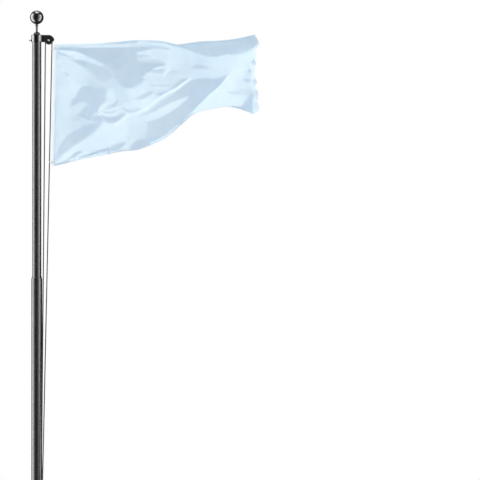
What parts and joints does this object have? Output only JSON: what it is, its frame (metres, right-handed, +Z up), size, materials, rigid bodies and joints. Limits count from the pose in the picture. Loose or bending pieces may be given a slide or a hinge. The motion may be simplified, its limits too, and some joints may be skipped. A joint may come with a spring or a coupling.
{
  "type": "sectional flagpole with halyard and flag",
  "caption": "Tall black sectional flagpole with a ball finial, a pulley truck, an endless halyard, a cleat and a plain pale blue flag.",
  "frame": {"origin": "centre of the pole's foot at ground level", "axes": "+Z up along the pole, +X the way the pulley bracket and the flag point, -Y towards the viewer and the cleat"},
  "size_m": [1.2867, 0.1429, 6.2379],
  "materials": {
    "black_tube": "semi-gloss black anodised aluminium",
    "black_casting": "semi-gloss black powder coat on cast aluminium",
    "black_ball": "glossy black anodised spun aluminium",
    "black_rod": "satin black",
    "black_nylon": "moulded, satin",
    "stainless": "turned",
    "brass": "machined",
    "grommet_brass": "rolled",
    "black_rope": "braided polyester",
    "white_clip": "moulded nylon",
    "white_heading": "canvas tape",
    "pale_blue_cloth": "satin polyester",
    "bare_aluminium": "mill"
  },
  "bodies": {
    "pole": {"pole_section_1": "black_tube", "pole_section_2": "black_tube", "pole_section_3": "black_tube", "pole_section_4": "black_tube", "pole_section_5": "black_tube", "ground_sleeve": "bare_aluminium", "truck_body": "black_casting", "sheave_pin": "stainless", "set_screw": "brass", "spindle": "black_rod", "ball_collar": "black_rod", "ball_upper_half": "black_ball", "ball_lower_half": "black_ball", "cleat": "black_casting", "cleat_screw_upper": "stainless", "cleat_screw_lower": "stainless", "halyard": "black_rope", "upper_clip": "white_clip", "lower_clip": "white_clip", "upper_grommet": "grommet_brass", "lower_grommet": "grommet_brass", "flag_heading": "white_heading", "flag_cloth": "pale_blue_cloth"},
    "pulley": {"sheave": "black_nylon"}
  },
  "joints": [
    {"name": "sheave_spin", "type": "hinge", "parent": "pole", "child": "pulley", "pos_m": [0.0668, 0, 6.0707], "axis": [0, 1, 0], "continuous": true}
  ]
}
